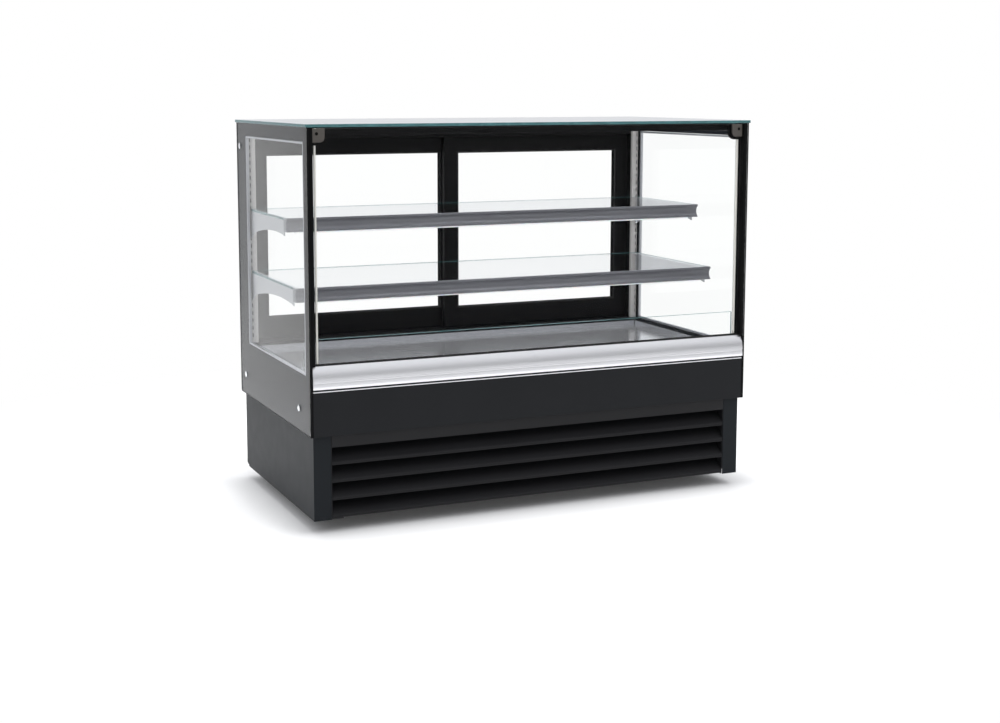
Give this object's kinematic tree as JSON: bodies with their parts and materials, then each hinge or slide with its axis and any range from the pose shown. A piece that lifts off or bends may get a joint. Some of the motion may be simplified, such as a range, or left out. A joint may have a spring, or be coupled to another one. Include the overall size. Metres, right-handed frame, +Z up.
{
  "type": "refrigerated cake display case",
  "caption": "Square glass chilled counter case with lift-up front glass, two glass shelves, sliding rear doors, bright bumper and louvred plinth",
  "frame": {"origin": "on the floor under the middle of the case's bounding box", "axes": "+X to the right seen from the customer's side, +Y to the back where the doors are, +Z up"},
  "size_m": [1.508, 0.794, 1.216],
  "materials": {
    "clear_glass": "polished",
    "top_glass": "polished, blue green edge",
    "door_glass": "polished",
    "side_frame": "satin grey",
    "black_frame": "satin black",
    "black_rubber": "matt",
    "cream_seal": "matt",
    "hinge_metal": "satin grey",
    "chrome": "polished",
    "bright_aluminium": "bright anodised",
    "shelf_metal": "satin silver",
    "shelf_cap": "satin dark grey",
    "light": "opal",
    "stainless": "brushed",
    "outer_sheet": "satin charcoal",
    "base_steel": "satin black",
    "coil": "plain",
    "fan_plastic": "satin black",
    "compressor": "gloss black paint",
    "copper": "bright copper",
    "switch": "gloss",
    "foot": "zinc"
  },
  "bodies": {
    "case": {"base_frame": "base_steel", "bumper": "bright_aluminium", "compressor": "compressor", "condenser": "coil", "condenser_shroud": "base_steel", "control_box": "black_frame", "deck_pan": "stainless", "evaporator_coil": "coil", "fan_panel": "stainless", "front_header": "black_frame", "front_panel": "outer_sheet", "front_post_left": "black_frame", "front_post_right": "black_frame", "glass_caps": "chrome", "grille": "outer_sheet", "inner_panes": "clear_glass", "light_strips": "light", "low_glass": "clear_glass", "low_glass_channel": "bright_aluminium", "plinth_left": "outer_sheet", "plinth_rear": "outer_sheet", "plinth_right": "outer_sheet", "rear_header": "black_frame", "rear_panel": "outer_sheet", "rear_post_left": "black_frame", "rear_post_right": "black_frame", "rear_sill": "black_frame", "refrigerant_pipes": "copper", "shelf_brackets_lower": "shelf_metal", "shelf_brackets_upper": "shelf_metal", "shelf_end_caps": "shelf_cap", "shelf_glass_lower": "clear_glass", "shelf_glass_upper": "clear_glass", "shelf_profile_lower": "shelf_metal", "shelf_profile_upper": "shelf_metal", "side_frame_left": "side_frame", "side_frame_right": "side_frame", "side_glass_left": "clear_glass", "side_glass_right": "clear_glass", "top_glass": "top_glass", "upright_left": "shelf_metal", "upright_right": "shelf_metal", "well_body": "outer_sheet", "well_liner": "stainless"},
    "lift_glass": {"front_glass": "clear_glass", "hinge_plates": "hinge_metal", "hinge_backings": "black_frame", "glass_seals": "cream_seal", "bottom_gasket": "black_rubber"},
    "rear_door_left": {"door_frame_left": "black_frame", "door_pane_left": "door_glass"},
    "rear_door_right": {"door_frame_right": "black_frame", "door_pane_right": "door_glass"},
    "evaporator_fan": {"evaporator_fan": "fan_plastic"},
    "condenser_fan": {"condenser_fan": "fan_plastic"},
    "power_switch": {"main_switch": "switch"},
    "foot_front_left": {"foot_1": "foot"},
    "foot_front_right": {"foot_2": "foot"},
    "foot_back_left": {"foot_3": "foot"},
    "foot_back_right": {"foot_4": "foot"}
  },
  "joints": [
    {"name": "front_glass_lift", "type": "hinge", "parent": "case", "child": "lift_glass", "pos_m": [0, -0.369, 1.175], "axis": [-1, 0, 0], "range_deg": [0, 80]},
    {"name": "rear_door_left_slide", "type": "slide", "parent": "case", "child": "rear_door_left", "axis": [1, 0, 0], "range_m": [0, 0.66]},
    {"name": "rear_door_right_slide", "type": "slide", "parent": "case", "child": "rear_door_right", "axis": [-1, 0, 0], "range_m": [0, 0.66]},
    {"name": "evaporator_fan_spin", "type": "hinge", "parent": "case", "child": "evaporator_fan", "pos_m": [0, 0.0055, 0.3915], "axis": [0, 1, 0], "continuous": true},
    {"name": "condenser_fan_spin", "type": "hinge", "parent": "case", "child": "condenser_fan", "pos_m": [-0.42, -0.199, 0.147], "axis": [0, 1, 0], "continuous": true},
    {"name": "power_switch_rock", "type": "hinge", "parent": "case", "child": "power_switch", "pos_m": [0.356, 0.389, 0.3695], "axis": [1, 0, 0], "range_deg": [0, 13]},
    {"name": "foot_front_left_turn", "type": "hinge", "parent": "case", "child": "foot_front_left", "pos_m": [-0.66, -0.193, 0.02], "axis": [0, 0, 1], "continuous": true},
    {"name": "foot_front_right_turn", "type": "hinge", "parent": "case", "child": "foot_front_right", "pos_m": [0.66, -0.193, 0.02], "axis": [0, 0, 1], "continuous": true},
    {"name": "foot_back_left_turn", "type": "hinge", "parent": "case", "child": "foot_back_left", "pos_m": [-0.66, 0.247, 0.02], "axis": [0, 0, 1], "continuous": true},
    {"name": "foot_back_right_turn", "type": "hinge", "parent": "case", "child": "foot_back_right", "pos_m": [0.66, 0.247, 0.02], "axis": [0, 0, 1], "continuous": true}
  ]
}
